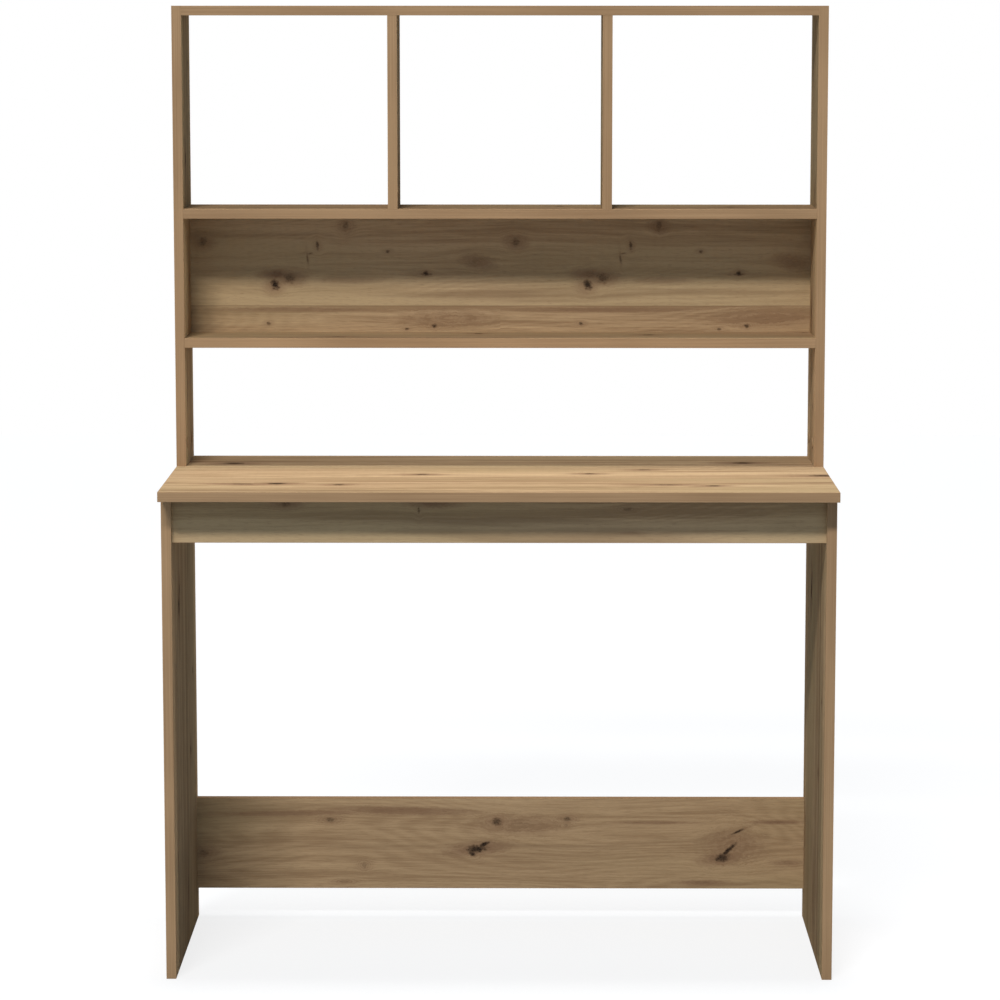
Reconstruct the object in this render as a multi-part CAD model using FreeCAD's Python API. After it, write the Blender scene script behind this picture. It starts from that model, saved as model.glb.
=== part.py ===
import FreeCAD, Part
import os

# Study desk with an open hutch: oak-decor boards held by cam fittings and dowels.
# Millimetres. +X is to the right seen from the front, +Y to the back, +Z up.
# The origin is on the floor, under the middle of the desk top.

# Driving dimensions: desk
overall_width = 1020.0
overall_depth = 450.0
desk_height = 760.0  # floor to the writing surface
board = 15.0  # thickness of every board
front_overhang = 50.0  # desk top past the legs' front edges
apron_height = 70.0
apron_setback = 10.0  # apron behind the legs' front edges
rear_panel_height = 150.0
rear_panel_lift = 50.0  # floor to the rear panel
panel_inset = 5.0  # rear panel and hutch back, in from the back edges

# Driving dimensions: hutch
hutch_depth = 140.0
open_bay_height = 187.5  # desk top to lower shelf
closed_bay_height = 187.5  # lower shelf to upper shelf
cubby_height = 300.0  # upper shelf to hutch top
cubby_count = 3

# Driving dimensions: edge bands
band = 0.8  # thickness
band_round = 0.5  # rounding of the outer corners

# Driving dimensions: fittings
fit_gap = 0.1  # between a fitting and its bore, all round
end_gap = 0.5  # between a fitting's end and its bore's floor
face_skin = 4.5  # board left behind a bore in its face
dowel_diameter = 8.0
dowel_length = 30.0
dowel_chamfer = 1.0
dowel_inset = 25.0  # dowel to the edge of its board
cam_diameter = 15.0
cam_below_axis = 4.8  # cam's depth past its bolt
cam_setback = 34.0  # cam to the end of its board
cam_throw = 0.6  # offset of the chamber from the cam's middle
cam_wall = 2.4  # wall round the chamber, before the offset
cam_cap = 0.9  # cam's end past the chamber
cam_turn = 200.0  # turn that the bolt's slot allows, degrees
cam_mouth = 70.0  # opening that lets the bolt's head in, degrees
driver_length = 7.0  # cross recess in the cam's face
driver_width = 1.5
driver_depth = 2.5
bolt_bore = 8.0
bolt_thread = 6.0
bolt_shaft = 7.0
bolt_neck = 4.0
bolt_head = 6.6
bolt_head_length = 2.0
cover_diameter = 18.0  # cover over a cam that shows
cover_thickness = 1.2
leg_fitting_inset = 80.0  # leg's front edge to its first fitting
fitting_pitch = 32.0  # between neighbouring fittings
upright_fitting_inset = 35.0  # upright's edges to its two cams
apron_fitting_inset = 245.0  # apron's ends to the cams that pull it to the desk top
overshoot = 1.0  # cutters start this far outside a board

V = FreeCAD.Vector
RIGHT = V(1, 0, 0)
BACK = V(0, 1, 0)
UP = V(0, 0, 1)

# Planes that the boards share
right = overall_width / 2
inner = right - board
front = -overall_depth / 2
back = overall_depth / 2
leg_front = front + front_overhang
hutch_front = back - hutch_depth
hutch_middle = (hutch_front + back) / 2
panel_back = back - panel_inset
panel_front = panel_back - board
panel_middle = (panel_front + panel_back) / 2
apron_front = leg_front + apron_setback
apron_middle = apron_front + board / 2
desk_under = desk_height - board
apron_bottom = desk_under - apron_height
lower_shelf = desk_height + open_bay_height
upper_shelf = lower_shelf + board + closed_bay_height
cubby_floor = upper_shelf + board
cubby_top = cubby_floor + cubby_height
overall_height = cubby_top + board
cubby_width = (2 * inner - (cubby_count - 1) * board) / cubby_count

# Fittings' own sizes that follow from the ones above
dowel_in_face = board - face_skin - end_gap
dowel_in_end = dowel_length - dowel_in_face
cam_radius = cam_diameter / 2 - fit_gap
cam_height = board / 2 + cam_below_axis
chamber_radius = cam_radius - cam_wall
chamber_half = cam_below_axis - cam_cap
head_face = chamber_radius - cam_throw - fit_gap  # bolt's head to the cam's middle, where it bears
head_taper = (bolt_head - bolt_neck) / 2

# Finished boards: low corner, high corner and the edges that carry a band
boards = {
    "desk_top": (
        (-right, front, desk_under),
        (right, back, desk_height),
        ("front", "back", "left", "right"),
    ),
    "left_leg": ((-right, leg_front, 0), (-inner, back, desk_under), ("front", "back")),
    "right_leg": ((inner, leg_front, 0), (right, back, desk_under), ("front", "back")),
    "front_apron": (
        (-inner, apron_front, apron_bottom),
        (inner, apron_front + board, desk_under),
        ("bottom",),
    ),
    "rear_panel": (
        (-inner, panel_front, rear_panel_lift),
        (inner, panel_back, rear_panel_lift + rear_panel_height),
        ("top", "bottom"),
    ),
    "left_upright": (
        (-right, hutch_front, desk_height),
        (-inner, back, overall_height),
        ("front", "back", "top"),
    ),
    "right_upright": (
        (inner, hutch_front, desk_height),
        (right, back, overall_height),
        ("front", "back", "top"),
    ),
    "lower_shelf": (
        (-inner, hutch_front, lower_shelf),
        (inner, back, lower_shelf + board),
        ("front", "back"),
    ),
    "upper_shelf": ((-inner, hutch_front, upper_shelf), (inner, back, cubby_floor), ("front", "back")),
    "hutch_top": ((-inner, hutch_front, cubby_top), (inner, back, overall_height), ("front", "back")),
    "hutch_back": ((-inner, panel_front, lower_shelf + board), (inner, panel_back, upper_shelf), ()),
}
dividers = {}
for number in range(1, cubby_count):
    name = f"divider_{number}"
    start = -inner + number * cubby_width + (number - 1) * board
    dividers[name] = start + board / 2
    boards[name] = ((start, hutch_front, cubby_floor), (start + board, back, cubby_top), ("front", "back"))

# Which axis an edge faces along, and whether it is at the board's high end
AXES = "xyz"
EDGES = {
    "left": ("x", False),
    "right": ("x", True),
    "front": ("y", False),
    "back": ("y", True),
    "bottom": ("z", False),
    "top": ("z", True),
}


def block(low, high):
    """A box between two corners."""
    spans = [b - a for a, b in zip(low, high)]
    return Part.makeBox(*spans, V(*low))


def band_strip(low, high, axis, outer):
    """One glued strip, with the two long corners of its outer face rounded."""
    strip = block(low, high)
    length = max(b - a for a, b in zip(low, high))
    long_edges = [
        edge
        for edge in strip.Edges
        if abs(edge.CenterOfMass[axis] - outer) < band / 10 and abs(edge.Length - length) < band / 10
    ]
    return strip.makeFillet(min(band_round, 0.9 * band), long_edges)


def board_with_bands(low, high, edges):
    """The board's core, cut back where it is banded, and its strips: the first run past the later ones."""
    low = list(low)
    high = list(high)
    strips = []
    for edge in edges:
        letter, at_high = EDGES[edge]
        axis = AXES.index(letter)
        strip_low = list(low)
        strip_high = list(high)
        if at_high:
            outer = high[axis]
            high[axis] -= band
            strip_low[axis] = high[axis]
        else:
            outer = low[axis]
            low[axis] += band
            strip_high[axis] = low[axis]
        strips.append(band_strip(strip_low, strip_high, axis, outer))
    return block(low, high), strips


def rod(start, direction, diameter, length):
    """A cylinder from a point along a direction."""
    return Part.makeCylinder(diameter / 2, length, start, direction)


def turned(profile, start, direction):
    """A solid of revolution about a line, from (distance along it, radius) pairs."""
    ends = [V(0, 0, profile[-1][0]), V(0, 0, profile[0][0])]
    outline = ends[1:] + [V(radius, 0, along) for along, radius in profile] + ends
    solid = Part.Face(Part.makePolygon(outline)).revolve(V(), UP, 360)
    solid.Placement = FreeCAD.Placement(start, FreeCAD.Rotation(UP, direction))
    return solid


def placed(shape, origin, x_axis, z_axis):
    """A copy of a shape with its own X and Z turned to the given directions."""
    copy = shape.copy()
    turn = FreeCAD.Rotation(x_axis, z_axis.cross(x_axis), z_axis, "ZXY")
    copy.Placement = FreeCAD.Placement(origin, turn)
    return copy


def wedge(half_height, start_angle, angle):
    """A sector about the cam's axis, level with its bolt and running past its wall."""
    sector = Part.makeCylinder(
        cam_radius + overshoot, 2 * half_height, V(0, 0, -board / 2 - half_height), UP, angle
    )
    sector.rotate(V(), UP, start_angle)
    return sector


def cross(length, width, depth):
    """A cross standing on z = 0 and reaching down."""
    bar = block((-length / 2, -width / 2, -depth), (length / 2, width / 2, 0))
    other = bar.copy()
    other.rotate(V(), UP, 90)
    return bar.fuse(other).removeSplitter()


def make_cam():
    """A cam lock: its face is at z = 0, and its bolt comes in along X from the positive side.

    The chamber is off the middle, so the wall thickens as the cam turns and draws the bolt's head in.
    """
    body = rod(V(0, 0, -cam_height), UP, 2 * cam_radius, cam_height)
    chamber = rod(V(-cam_throw, 0, -board / 2 - chamber_half), UP, 2 * chamber_radius, 2 * chamber_half)
    slot_start = -cam_mouth / 2
    slot = wedge(bolt_neck / 2 + fit_gap, slot_start, cam_turn)
    mouth = wedge(chamber_half, slot_start + cam_turn - cam_mouth, cam_mouth)
    return body.cut([chamber, slot, mouth, cross(driver_length, driver_width, driver_depth)])


def make_cover():
    """A domed cover with a cross underneath that presses into the cam's driver recess."""
    radius = cover_diameter / 2
    rim = cover_thickness / 2
    dome = Part.makeCylinder(radius, cover_thickness)
    dome = dome.makeFillet(rim, [edge for edge in dome.Edges if edge.CenterOfMass.z > rim and edge.Closed])
    plug = cross(driver_length - 2 * fit_gap, driver_width - 2 * fit_gap, driver_depth - end_gap)
    return dome.fuse(plug)


def bolt_end():
    """The bolt's profile from the joint into the cam: shaft, neck and head, as (distance, radius) pairs."""
    bears = cam_setback - head_face
    return [
        (0, bolt_shaft / 2),
        (cam_setback - cam_diameter / 2 - fit_gap, bolt_shaft / 2),
        (cam_setback - cam_diameter / 2 - fit_gap, bolt_neck / 2),
        (bears, bolt_neck / 2),
        (bears + head_taper, bolt_head / 2),
        (bears + head_taper + bolt_head_length, bolt_head / 2),
    ]


def bolt_profile():
    """A cam bolt: its thread is in the face of one board, its head in the other board's cam."""
    thread_length = board - face_skin - end_gap
    return [(-thread_length, bolt_thread / 2), (0, bolt_thread / 2)] + bolt_end()


def through_bolt_profile():
    """A bolt with a head at each end, through the desk top and into the boards above and below it."""
    upper = bolt_end()[1:]
    lower = [(-board - along, radius) for along, radius in reversed(upper)]
    return lower + upper


bores = {name: [] for name in boards}
cams, bolts, through_bolts, dowels, covers = [], [], [], [], []
cam = make_cam()
cover = make_cover()


def add_dowel(end_board, face_board, point, into):
    """A dowel from one board's face into another's end. The point is on the face."""
    bores[face_board].append(
        rod(point + into * overshoot, -into, dowel_diameter, dowel_in_face + end_gap + overshoot)
    )
    bores[end_board].append(
        rod(point - into * overshoot, into, dowel_diameter, dowel_in_end + end_gap + overshoot)
    )
    radius = dowel_diameter / 2 - fit_gap
    profile = [
        (-dowel_in_face, radius - dowel_chamfer),
        (dowel_chamfer - dowel_in_face, radius),
        (dowel_in_end - dowel_chamfer, radius),
        (dowel_in_end, radius - dowel_chamfer),
    ]
    dowels.append(turned(profile, point, into))


def add_cam(cam_board, point, into, face):
    """A cam in a board's face, and the bore from the board's end that brings the bolt to it."""
    middle = point + into * cam_setback + face * (board / 2)
    bores[cam_board].append(
        rod(middle + face * overshoot, -face, cam_diameter, cam_height + end_gap + overshoot)
    )
    bores[cam_board].append(rod(point - into * overshoot, into, bolt_bore, cam_setback + overshoot))
    cams.append(placed(cam, middle, -into, face))
    return middle


def add_cam_joint(cam_board, face_board, point, into, face):
    """A bolt screwed into one board's face and drawn up by a cam in the other board."""
    add_cam(cam_board, point, into, face)
    bores[face_board].append(
        rod(point + into * overshoot, -into, bolt_thread + 2 * fit_gap, board - face_skin + overshoot)
    )
    bolts.append(turned(bolt_profile(), point, into))


def join_board_end(end_board, face_board, points, into, face):
    """A board's end held by a cam at the first point and located by a dowel at each other point."""
    add_cam_joint(end_board, face_board, points[0], into, face)
    for point in points[1:]:
        add_dowel(end_board, face_board, point, into)


# Joints at each side of the desk: apron, rear panel, desk top, shelves and hutch back
for side, sign in (("left", -1), ("right", 1)):
    leg = f"{side}_leg"
    upright = f"{side}_upright"
    plane = sign * inner
    inward = RIGHT * -sign
    board_middle = sign * (inner + board / 2)

    apron_third = apron_height / 3
    apron_heights = (apron_height - apron_third, apron_third)
    apron_points = [V(plane, apron_middle, apron_bottom + height) for height in apron_heights]
    join_board_end("front_apron", leg, apron_points, inward, BACK)

    rear_heights = (rear_panel_height / 2, dowel_inset, rear_panel_height - dowel_inset)
    rear_points = [V(plane, panel_middle, rear_panel_lift + height) for height in rear_heights]
    join_board_end("rear_panel", leg, rear_points, inward, BACK)

    leg_cam = leg_front + leg_fitting_inset
    leg_depths = (leg_cam, leg_cam + fitting_pitch, hutch_front - fitting_pitch)
    leg_points = [V(board_middle, depth, desk_under) for depth in leg_depths]
    join_board_end(leg, "desk_top", leg_points, -UP, inward)

    add_dowel(upright, "desk_top", V(board_middle, hutch_middle, desk_height), UP)
    for depth in (hutch_front + upright_fitting_inset, back - upright_fitting_inset):
        top_point = V(board_middle, depth, desk_height)
        under_point = V(board_middle, depth, desk_under)
        add_cam(leg, under_point, -UP, inward)
        covers.append(placed(cover, add_cam(upright, top_point, UP, inward), RIGHT, inward))
        bores["desk_top"].append(
            rod(under_point - UP * overshoot, UP, bolt_shaft + 2 * fit_gap, board + 2 * overshoot)
        )
        through_bolts.append(turned(through_bolt_profile(), top_point, UP))

    for shelf in ("lower_shelf", "upper_shelf", "hutch_top"):
        height = boards[shelf][0][2] + board / 2
        shelf_depths = (hutch_middle, hutch_front + dowel_inset, back - dowel_inset)
        shelf_points = [V(plane, depth, height) for depth in shelf_depths]
        join_board_end(shelf, upright, shelf_points, inward, -UP)

    bay_heights = (closed_bay_height / 2, dowel_inset, closed_bay_height - dowel_inset)
    bay_points = [V(plane, panel_middle, lower_shelf + board + height) for height in bay_heights]
    join_board_end("hutch_back", upright, bay_points, inward, BACK)

    apron_top_point = V(plane - sign * apron_fitting_inset, apron_middle, desk_under)
    add_cam_joint("front_apron", "desk_top", apron_top_point, -UP, BACK)

# Dividers stand on dowels between the upper shelf and the hutch top
for name, middle in dividers.items():
    for depth in (hutch_front + dowel_inset, back - dowel_inset):
        add_dowel(name, "upper_shelf", V(middle, depth, cubby_floor), UP)
        add_dowel(name, "hutch_top", V(middle, depth, cubby_top), -UP)

# One file for each board, each board's bands and each kind of fitting
nodes = {}
for name, (low, high, edges) in boards.items():
    core, strips = board_with_bands(low, high, edges)
    nodes[name] = core.cut(bores[name])
    if strips:
        nodes[f"{name}_edge_band"] = Part.makeCompound(strips)
nodes["cam_locks"] = Part.makeCompound(cams)
nodes["cam_bolts"] = Part.makeCompound(bolts)
nodes["through_bolts"] = Part.makeCompound(through_bolts)
nodes["dowels"] = Part.makeCompound(dowels)
nodes["cam_covers"] = Part.makeCompound(covers)

os.makedirs("parts", exist_ok=True)
for name, shape in nodes.items():
    shape.exportStep(f"parts/{name}.step")
    print(name, len(shape.Solids), "solids,", round(shape.Volume), "mm3, valid:", shape.isValid())
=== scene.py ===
import math
from typing import NamedTuple

import bmesh
import bpy
from bpy.props import FloatProperty, FloatVectorProperty, IntProperty, PointerProperty
from bpy.types import Operator, Panel, PropertyGroup
from mathutils import Matrix, Vector


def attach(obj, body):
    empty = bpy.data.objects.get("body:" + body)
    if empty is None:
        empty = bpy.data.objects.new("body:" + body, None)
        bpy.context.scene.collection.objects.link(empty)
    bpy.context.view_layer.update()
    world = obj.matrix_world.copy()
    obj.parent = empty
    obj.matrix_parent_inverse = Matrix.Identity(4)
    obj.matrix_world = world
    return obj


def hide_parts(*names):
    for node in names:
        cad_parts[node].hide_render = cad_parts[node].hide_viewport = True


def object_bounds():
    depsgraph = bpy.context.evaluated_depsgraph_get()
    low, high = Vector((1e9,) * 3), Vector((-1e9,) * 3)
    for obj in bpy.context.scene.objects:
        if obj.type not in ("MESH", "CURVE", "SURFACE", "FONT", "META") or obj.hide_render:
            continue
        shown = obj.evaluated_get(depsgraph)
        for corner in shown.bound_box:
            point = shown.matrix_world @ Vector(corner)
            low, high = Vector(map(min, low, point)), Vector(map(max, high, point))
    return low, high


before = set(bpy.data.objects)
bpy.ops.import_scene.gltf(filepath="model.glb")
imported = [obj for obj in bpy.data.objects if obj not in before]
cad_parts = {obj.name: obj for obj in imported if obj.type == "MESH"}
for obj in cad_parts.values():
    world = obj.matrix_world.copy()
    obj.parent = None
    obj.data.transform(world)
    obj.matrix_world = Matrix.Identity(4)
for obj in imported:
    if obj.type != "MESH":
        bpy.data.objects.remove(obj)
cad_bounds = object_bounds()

bl_info = {
    "name": "Study desk",
    "version": (1, 0, 0),
    "blender": (4, 5, 0),
    "location": "View3D > Sidebar > Study desk",
    "description": "Gives the study desk its oak decor and fittings, and sets up its studio view",
    "category": "Object",
}

MM = 0.001

# The way that a board's grain runs, the way across it on the wide face, and the way through it
FLAT = ("X", "Y", "Z")  # desk top and shelves
STANDING = ("X", "Z", "Y")  # apron, rear panel and hutch back
UPRIGHT = ("Z", "Y", "X")  # legs, uprights and dividers

# Ends and edges of boards, in millimetres from the desk's origin
LEG_EDGES = (-175, 225)
UPRIGHT_EDGES = (85, 225)
UPRIGHT_ENDS = (760, 1480)
SHELF_LENGTH = 990  # millimetres

# Knots, cracks and streaks that a board shows, in millimetres from the desk's origin and degrees:
# (along the grain, across it, half length, half height, turn, darkness of the core, strength of
# the halo)
DESK_TOP_KNOTS = (
    (-338, -124, 13, 8, 4, 1.0, 1.0),
    (-391, -130, 18, 7, -3, 0.45, 0.9),
    (-243, -136, 9, 7, 6, 0.7, 0.8),
    (-121, -13, 12, 7, 0, 0.7, 0.9),
    (139, -4, 10, 7, 0, 0.65, 0.8),
    (225, 45, 12, 7, 3, 0.55, 0.7),
    (253, -136, 24, 5, 0, 0.6, 0.9),
    (324, -147, 11, 7, 3, 0.7, 0.8),
    (500, -25, 20, 10, 0, 0.8, 0.8),
    (-422, 123, 16, 11, 2, 0.8, 0.9),
    (385, 133, 16, 10, 2, 0.8, 0.9),
)
REAR_PANEL_KNOTS = (
    (-38, 116, 16, 6, 6, 1.0, 1.0),
    (-27, 123, 9, 3, 26, 1.0, 0.3),
    (-46, 108, 6, 4, -30, 0.9, 0.3),
    (-6, 161, 7, 6, 0, 0.65, 0.8),
    (33, 155, 24, 8, 0, 0.05, 0.6),
    (109, 166, 6, 4, 0, 0.45, 0.6),
    (107, 155, 4, 3, 0, 0.2, 0.4),
    (-278, 164, 7, 4, 0, 0.45, 0.6),
    (-485, 109, 9, 6, 0, 0.3, 0.6),
    (-222, 88, 4, 5, 0, 0.2, 0.4),
    (-255, 61, 8, 3, 0, 0.1, 0.4),
    (362, 101, 12, 6, 8, 0.9, 1.0),
    (372, 114, 17, 3.4, 46, 1.0, 0.2),
    (387, 145, 10, 1.8, 24, 0.9, 0.6),
    (379, 122, 14, 14, 0, 0.0, 0.7),
    (-335, 175, 36, 2.4, 1, 0.0, 1.0),
    (-150, 179, 34, 3.4, -1, 0.0, 1.0),
    (253, 160, 20, 1.4, 0, 0.0, 0.8),
    (452, 161, 14, 2, 0, 0.1, 1.0),
    (330, 60, 14, 2.5, 0, 0.1, 0.9),
    (470, 93, 9, 3, 0, 0.1, 0.7),
)
HUTCH_BACK_KNOTS = (
    (-360, 1038, 6, 8, 20, 1.0, 0.8),
    (-337, 1048, 9, 7, 0, 0.5, 0.9),
    (-357, 1054, 9, 5, 0, 0.15, 1.0),
    (-119, 1056, 4, 3.5, 0, 0.9, 0.5),
    (-119, 1055, 10, 1.6, 0, 0.35, 0.4),
    (-292, 1101, 2.4, 6, 8, 0.6, 0.3),
    (-308, 1079, 8, 1.5, 96, 0.4, 0.2),
    (-304, 1088, 5, 1.3, 5, 0.3, 0.2),
    (-180, 1091, 3, 2.5, 0, 0.55, 0.3),
    (-475, 1106, 6, 7, 0, 0.4, 0.6),
    (-247, 1132, 5, 7, 0, 0.35, 0.5),
    (-106, 972, 4, 3, 0, 0.75, 0.4),
    (-371, 976, 3, 2.5, 0, 0.6, 0.4),
    (-150, 967, 3, 2, 0, 0.6, 0.3),
    (-82, 985, 24, 7, 0, 0.0, 0.5),
    (-245, 1045, 16, 3, 0, 0.0, 0.5),
    (-36, 1074, 9, 6, -12, 0.05, 0.7),
    (-330, 998, 40, 2, 0, 0.0, 0.8),
)
APRON_KNOTS = (
    (-322, 736, 9, 5, 0, 0.35, 0.8),
    (-121, 725, 1.8, 6, 0, 0.4, 0.3),
    (-100, 738, 14, 5, 0, 0.0, 1.0),
    (194, 727, 6, 3, 0, 0.3, 0.4),
    (199, 690, 6, 1.5, 0, 0.0, 0.6),
)
LEG_KNOTS = (
    (560, -60, 16, 7, 0, 0.9, 0.8),
    (585, -48, 9, 6, 10, 0.5, 0.7),
    (300, 110, 8, 6, 0, 0.7, 0.7),
    (175, -120, 12, 3, 0, 0.5, 0.6),
    (420, 160, 5, 4, 0, 0.7, 0.4),
    (90, 40, 22, 5, 0, 0.25, 0.8),
    (660, 90, 30, 3, 0, 0.0, 0.8),
)
UPRIGHT_KNOTS = (
    (1240, 135, 11, 5, 0, 0.9, 0.8),
    (1390, 185, 6, 4, 0, 0.6, 0.5),
    (1050, 180, 9, 4, 0, 0.6, 0.7),
    (870, 125, 20, 4, 0, 0.3, 0.8),
)
SHELF_KNOTS = (
    (-310, 150, 10, 6, 0, 0.9, 0.8),
    (-60, 190, 6, 4, 0, 0.6, 0.5),
    (190, 120, 14, 4, 0, 0.5, 0.7),
    (410, 170, 7, 6, 0, 0.8, 0.7),
)


def front_to_back(knots, edges):
    """Knots of a board that is turned front to back."""
    return tuple((along, sum(edges) - across, *rest) for along, across, *rest in knots)


def end_for_end(knots, ends):
    """Knots of a board that stands on its other end."""
    return tuple((sum(ends) - along, *rest) for along, *rest in knots)


def slid(knots, distance, length):
    """Knots of a board that is cut further along the print. Past its end they start again."""
    return tuple(((along + distance) % length - length / 2, *rest) for along, *rest in knots)


class Cut(NamedTuple):
    """How a board is cut from the oak decor. Places are in millimetres from the desk's origin."""

    axes: tuple  # along the grain, across it and through the board
    seam: float  # place across the grain where one plank of the print ends
    sheet: int  # number of the stretch of decor that the board is cut from
    knots: tuple
    figure: float = 1.0  # strength of its streaks
    tone: float = 0.0  # paler above 0, darker below
    change: tuple = ()  # two places across the grain, and the tone from the second of them on
    repeat: float = 0.0  # length after which the knots come again, or 0


# Boards, and the stretch of decor that each shows, with painted light and shade in the apron's
# tones
CUTS = {
    "desk_top": Cut(FLAT, -62, 1, DESK_TOP_KNOTS, figure=1.15),
    "left_leg": Cut(UPRIGHT, 60, 2, LEG_KNOTS, tone=-0.12),
    "right_leg": Cut(UPRIGHT, -10, 3, front_to_back(LEG_KNOTS, LEG_EDGES), tone=-0.12),
    # The apron is dark down to 722 mm and pale from 700 mm down: painted shade under the desk top's
    # overhang above, and painted light below the edge of its shadow
    "front_apron": Cut(STANDING, 640, 4, APRON_KNOTS, tone=-0.34, change=(722, 700, 0.45)),
    "rear_panel": Cut(STANDING, 40, 5, REAR_PANEL_KNOTS, figure=0.55, tone=-0.15),
    "left_upright": Cut(UPRIGHT, 60, 6, UPRIGHT_KNOTS),
    "right_upright": Cut(
        UPRIGHT, 80, 7, end_for_end(front_to_back(UPRIGHT_KNOTS, UPRIGHT_EDGES), UPRIGHT_ENDS)
    ),
    "lower_shelf": Cut(FLAT, 60, 8, slid(SHELF_KNOTS, 1040, SHELF_LENGTH), tone=-0.26),
    "upper_shelf": Cut(FLAT, 60, 9, slid(SHELF_KNOTS, 1170, SHELF_LENGTH), tone=-0.42),
    "hutch_top": Cut(FLAT, 60, 10, slid(SHELF_KNOTS, 1300, SHELF_LENGTH), tone=-0.12),
    "divider_1": Cut(UPRIGHT, 70, 11, UPRIGHT_KNOTS),
    "divider_2": Cut(UPRIGHT, 70, 12, UPRIGHT_KNOTS),
    "hutch_back": Cut(
        STANDING, 1004, 13, HUTCH_BACK_KNOTS,
        figure=1.2, tone=0.23, change=(1004.5, 1003.5, -0.10), repeat=500,
    ),
}
SHEET_STEP = (1.37, 0.61, 0.43)  # metres in the pattern from one sheet to the next
PLANK_STEP = (7, 7, 7)  # metres in the pattern over which the planks are drawn
SEAM_WIDTH = 0.0012  # metres
SHEEN = 0.0  # specular level of the matt melamine, and of what isn't metal among the fittings

# Patterns of the decor: metres along the grain, across it and into the board, and then the
# detail in the noise
SWAY = ((0.6, 0.22, 0.3), 1.0)
FIGURE = ((0.7, 0.12, 0.2), 1.5)
STREAKS = ((0.7, 0.020, 0.08), 3.0)
LINES = ((0.2, 0.0045, 0.03), 3.0)
FIBRES = ((0.05, 0.0011, 0.005), 2.0)
PORES = ((0.012, 0.0005, 0.003), 0.0)
HEART = ((0.9, 0.035, 0.1), 3.0)
CAST = ((0.8, 0.12, 0.2), 1.0)
CRACKS = ((0.006, 0.0025, 0.006), 2.0)
RAGGED_EDGE = ((0.006, 0.004, 0.006), 2.0)
RELIEF = ((0.015, 0.0006, 0.003), 2.0)
NOISE_MIDDLE = 0.5

# Levels of a pattern, or of the tone, at which a colour starts to show and at which it is full
PORE_LEVELS = (0.60, 0.74)
HEART_LEVELS = (0.57, 0.72)
CAST_LEVELS = (0.40, 0.62)
CRACK_LEVELS = (0.06, 0.0)
TAN_LEVELS = (-0.45, 0.05)
PALE_LEVELS = (-0.02, 0.55)

# Weights of the patterns in the tone of the wood
STREAK_WEIGHT = 1.7
LINE_WEIGHT = 1.1
FIBRE_WEIGHT = 0.8
RING_WEIGHT = 0.08
LOOP_WEIGHT = 0.14
PLANK_WEIGHT = 0.16

# How much of a colour comes in where its pattern is full
CAST_SHARE = 0.45
HEART_SHARE = 0.55
PORE_SHARE = 0.30
SEAM_SHARE = 0.6
HALO_LINES = 0.9  # share of the lines in a halo's strength
HALO_BASE = 0.27

OAK_ROUGHNESS = 0.68
LINE_ROUGHNESS = 0.14
PORE_ROUGHNESS = 0.10
KNOT_ROUGHNESS = 0.08

# Knots. Distances are in a knot's half sizes
KNOT_LOOSENESS = 1.3  # how ragged a knot's outline is
CORE_LEVELS = (1.4, 0.3)
RIM_LEVELS = (2.3, 0.7)  # dark rim round the core
HALO_REACH = (5, 3, 1)  # halo's size over its knot's
HALO_LEVELS = (1, 0.2)
PUSH_REACH = (3.2, 2.2, 1)  # reach of the lines that bend round a knot, over its size
PUSH_SHARE = 0.9  # how far they bend
LOOP_COUNT = 3.5  # growth rings that close round a knot within that reach

# Banded boards: the axis that goes through the board, and how much paler than usual its band is
BANDS = {
    "desk_top": ("Z", -0.12),
    "left_leg": ("X", -0.12),
    "right_leg": ("X", -0.12),
    "front_apron": ("Y", 0.0),
    "rear_panel": ("Y", 0.0),
    "left_upright": ("X", 0.0),
    "right_upright": ("X", 0.0),
    "lower_shelf": ("Z", 0.05),
    "upper_shelf": ("Z", -0.03),
    "hutch_top": ("Z", -0.07),
    "divider_1": ("X", 0.0),
    "divider_2": ("X", 0.0),
}
BAND_LINE = 0.0012  # metres between the fine lines of an edge band
BAND_RUN = 0.25  # metres along them
BAND_DETAIL = 2.0
BAND_WEIGHT = 0.9  # of the lines, and of the broad patches, in the tone
BAND_SHARE = 0.5  # pale colour at the middle tone
BAND_ROUGHNESS = (0.15, 0.55)  # share of the lines in it, and the least roughness


class Finish(NamedTuple):
    """The surface of a fitting."""

    metallic: float
    roughness: float
    spots: tuple  # size of its spots, in metres
    relief: float  # metres


CAST_FINISH = Finish(1.0, 0.4, (0.0005, 0.0005, 0.0005), 0.00005)
TURNED_FINISH = Finish(1.0, 0.2, (0.0002, 0.0002, 0.0002), 0.00002)
BEECH_FINISH = Finish(0.0, 0.55, (0.002, 0.0006, 0.002), 0.0001)
MOULDED_FINISH = Finish(0.0, 0.4, (0.0006, 0.0006, 0.0006), 0.00003)
SPOT_DETAIL = 3.0
SPOT_LEVELS = (0.35, 0.6)
SPOT_SHADE = 0.8  # how much of the colour is left in the spots
SPOT_ROUGHNESS = 0.3  # share of the spots in the roughness

# A cam bolt, in millimetres: its thread's length and radius, and then each step's distance from
# the tip and its radius there
BOLT_THREAD = (10, 3)
BOLT_STEPS = ((36.4, 3.5), (36.4, 2), (39.7, 2), (41, 3.3), (43, 3.3))
BOLT_SIDES = 24
THREAD_OVERLAP = 0.0003  # metres that the thread runs on inside the shaft
SPARE_TURNS = 3  # turns of the thread that the cuts at its ends take off
HEAD_ROUND = 0.0004  # metres
HEAD_SEGMENTS = 3
END_FACING = 0.9  # least part of an end face's normal along the axis
SMOOTH_ANGLE = math.radians(30)  # flatter edges are shaded smooth
MERGE_DISTANCE = 0.000001  # metres

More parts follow.
